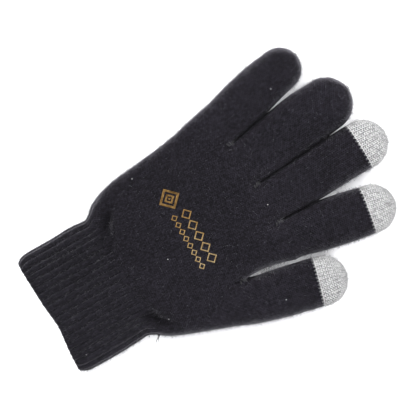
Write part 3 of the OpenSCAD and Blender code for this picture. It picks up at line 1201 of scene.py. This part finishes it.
def top_tree():
    """The top of the hand, to lay things on."""
    on_top = (data[faces][:, :, 4] > 0).all(1)
    hand = (labels == number["palm_knit"]) | (labels == number["knuckle_knit"])
    for f in fingers:
        hand |= labels == number[f.name + "_lower_knit"]
    chosen = faces[on_top & hand]
    used, own = np.unique(chosen, return_inverse=True)
    return BVHTree.FromPolygons(points[used].tolist(), own.reshape(-1, 4).tolist())


def on_top(tree, x, y):
    """The height of the knitting under a point."""
    hit = tree.ray_cast(Vector((float(x), float(y), 40)), Vector((0, 0, -1)))
    return hit[0].z if hit[0] else 10.0


def crotch_stitches(tree, crotch):
    """Three short loops of yarn that draw a crotch together, and the tail of the last one."""
    made = []
    for k in range(3):
        y = crotch[1] - 1.2 - 1.45 * k
        swing = 0.4 * math.sin(2.1 * k + crotch[0])
        slope = 0.5 * math.cos(1.7 * k + 2 * crotch[0])
        reach = 1.3 - 0.2 * k
        path = []
        for u in np.linspace(-reach, reach, 13):
            x = crotch[0] + u + swing
            arch = 0.28 * (1 - (u / reach) ** 2)
            path.append((x, y + slope * u, on_top(tree, x, y + slope * u) + arch - 0.2))
        first, last = np.array(path[0]), np.array(path[-1])
        path = [first - [0, 0, 1.5], *path, last - [0, 0, 1.5]]
        made.append(tube(path, 0.36))
    return joined(made)


FOIL_LIFT, FOIL_DEPTH = 0.07, 0.3


def diamond_line(tree, centre, size, line):
    """One outlined diamond of foil, laid on the stitches."""
    half = size / 2
    corners = np.array([[half, 0], [0, half], [-half, 0], [0, -half], [half, 0]])
    steps = max(3, int(half * 1.414 / 0.3))
    outline = np.concatenate(
        [mix(corners[k], corners[k + 1], np.linspace(0, 1, steps, endpoint=False)[:, None])
         for k in range(4)]
    )
    inner = max(0.0, 1 - line * math.sqrt(2) / half)
    shares = np.linspace(1, max(inner, 0.02), 2 + int(line / 0.3))
    rings = []
    for share in shares:
        plan = centre + outline * share
        under = np.array([on_top(tree, *p) for p in plan])
        rings.append(np.column_stack([plan, under + FOIL_LIFT]))
    sunk = [rings[-1] - [0, 0, FOIL_DEPTH], rings[0] - [0, 0, FOIL_DEPTH]]
    rings = np.array(rings + sunk)
    count = len(outline)
    grid = np.arange(len(rings) * count).reshape(len(rings), count)
    after, beside = np.roll(grid, -1, 0), np.roll(grid, -1, 1)
    return rings.reshape(-1, 3), list(quads(grid, beside, np.roll(after, -1, 1), after))


def emblem(tree, node, shapes):
    """Foil diamonds where a CAD emblem node lies. Shapes are (x share, size, line)."""
    low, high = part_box(node)
    parts = []
    for share, size, line in shapes:
        centre = np.array([mix(low.x, high.x, share), (low.y + high.y) / 2]) / MM
        parts.append(diamond_line(tree, centre, size, line))
    return joined(parts)


ROW_LENGTH = 35.0  # mm along the hand's width that a row of the emblem takes up


def row_of(count, size, line):
    """Diamonds from one end of a node's box to the other."""
    margin = 0.5 * size / ROW_LENGTH
    return [(mix(margin, 1 - margin, k / (count - 1)), size, line) for k in range(count)]


def elastic_loops():
    """Covered elastic threads laid in between the two faces of the rib's wall."""
    low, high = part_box("cuff_elastic")
    rows = np.unique(data[:, 1])
    made = []
    for share in np.linspace(0, 1, 7):
        y = (mix(low.y, high.y, share) / MM - mouth_y) / COURSE
        y = round(y * COURSE_SAMPLES) / COURSE_SAMPLES
        nearest = rows[np.argmin(np.abs(rows - y))]
        here = (np.abs(data[:, 1] - nearest) < 1e-6) & (data[:, 3] < 0.01)
        top = np.where(here & (data[:, 4] > 0))[0]
        bottom = np.where(here & (data[:, 4] < 0))[0]
        top = top[np.argsort(data[top, 0])]
        bottom = bottom[np.argsort(-data[bottom, 0])]
        loop = np.concatenate([top, bottom])
        path = points[loop] - normals[loop] * (WALL / 2)
        made.append(tube(path, 0.22, 5, closed=True))
    return joined(made)


TAIL_REACH = 1.5  # the cut end shows past the skin, which is fuller than the CAD


def yarn_tail():
    """A cut end of yarn, whose plies have come apart."""
    low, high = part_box("yarn_tail")
    start = np.array([low.x, high.y, (low.z + high.z) / 2]) / MM
    end = np.array([high.x, low.y, (low.z + high.z) / 2]) / MM
    made = []
    t = np.linspace(0, 1, 12)[:, None]
    for k in range(7):
        spread = rng.normal(0, 1, 3) * [0.9, 0.9, 0.6]
        bend = rng.normal(0, 1, 3) * [0.5, 0.5, 0.4]
        reach = rng.uniform(0.65, 1.15)
        twist = 0.3 * np.concatenate(
            [np.cos(9 * t + k), np.sin(9 * t + k), np.sin(9 * t + 2 * k)], 1
        )
        path = start + (end - start) * t * reach * TAIL_REACH + spread * t**2.5 + bend * t * (1 - t)
        path = path + twist * (1 - 0.6 * t)
        path[:, 2] = np.maximum(path[:, 2], 0.4)
        made.append(tube(path, 0.3, 5, taper=1 - 0.6 * t[:, 0]))
    return joined(made)


tree = top_tree()
stitch_nodes = [
    ("little_ring_crotch", crotches[0]), ("ring_middle_crotch", crotches[1]),
    ("middle_index_crotch", crotches[2]), ("thumb_crotch_stitch", thumb_crotch),
]
for node, crotch in stitch_nodes:
    obj = new_mesh(node + "_loops", *crotch_stitches(tree, crotch))
    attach(dress(obj, thread, "black_knit", node), "hand")
foils = {
    "emblem_badge": [(0.5, 13, 1.2), (0.5, 6.4, 1.0), (0.5, 1.4, 0.5)],
    "emblem_band_upper": row_of(5, 6.6, 0.62),
    "emblem_band_lower": row_of(8, 4.0, 0.5),
}
for node, shapes in foils.items():
    obj = new_mesh(node + "_foil", *emblem(tree, node, shapes))
    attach(dress(obj, foil, "gold_foil", node), "hand")
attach(dress(new_mesh("elastic_loops", *elastic_loops()), elastic, "elastic_thread",
              "cuff_elastic"), "cuff")
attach(dress(new_mesh("cut_yarn_end", *yarn_tail()), thread, "black_knit", "yarn_tail"), "hand")


# ---------------------------------------------------------------- stage


WORLD_LIGHT, KEY_LIGHT = 0.68, 15.5
VIEW_WIDTH = 0.2352  # metres across the picture, at VIEW_HEIGHT above the table
VIEW_HEIGHT = 0.008
VIEW_MIDDLE = (-0.0096, 0.0006)
VIEW_TURN = 60  # degrees, so that the glove points up and to the right


def floor():
    """A white table that glows a little, which keeps the shadows as faint as in the photo."""
    n = Nodes("table")
    n.look(
        Base_Color=(0.93, 0.93, 0.94, 1), Roughness=0.9,
        Emission_Color=(0.97, 0.97, 1, 1), Emission_Strength=0.28,
    )
    side = 6000.0
    corner = np.array([[-side, -side, 0], [side, -side, 0], [side, side, 0], [-side, side, 0]])
    obj = new_mesh("table", corner, np.array([[0, 1, 2, 3]]))
    obj.data.materials.append(n.material)


def area_light(name, turn, height, size, power):
    """A round softbox. turn is its direction in the picture, in degrees from the right."""
    angle, lift = math.radians(turn + VIEW_TURN), math.radians(height)
    data = bpy.data.lights.new(name, "AREA")
    data.shape = "DISK"
    data.size = size
    data.energy = power
    obj = bpy.data.objects.new(name, data)
    flat = math.cos(lift)
    obj.location = (flat * math.cos(angle), flat * math.sin(angle), math.sin(lift))
    obj.rotation_mode = "QUATERNION"
    obj.rotation_quaternion = (-obj.location).to_track_quat("-Z", "Y")
    bpy.context.scene.collection.objects.link(obj)


def studio():
    world = bpy.data.worlds.new("studio")
    world.use_nodes = True
    world.node_tree.nodes["Background"].inputs[0].default_value = (0.97, 0.98, 1.0, 1)
    world.node_tree.nodes["Background"].inputs[1].default_value = WORLD_LIGHT
    bpy.context.scene.world = world
    area_light("upper_left", 135, 34, 0.8, KEY_LIGHT)
    area_light("upper_right", 45, 28, 0.7, KEY_LIGHT * 0.6)
    area_light("lower_right", -45, 28, 0.7, KEY_LIGHT * 0.55)
    bpy.context.scene.view_settings.view_transform = "Standard"


def camera():
    data = bpy.data.cameras.new("camera")
    data.lens = 85
    obj = bpy.data.objects.new("camera", data)
    distance = VIEW_WIDTH / 2 / math.tan(data.angle / 2)
    obj.location = (*VIEW_MIDDLE, distance + VIEW_HEIGHT)
    obj.rotation_euler = (0, 0, math.radians(VIEW_TURN))
    bpy.context.scene.collection.objects.link(obj)
    bpy.context.scene.camera = obj


floor()
studio()
camera()
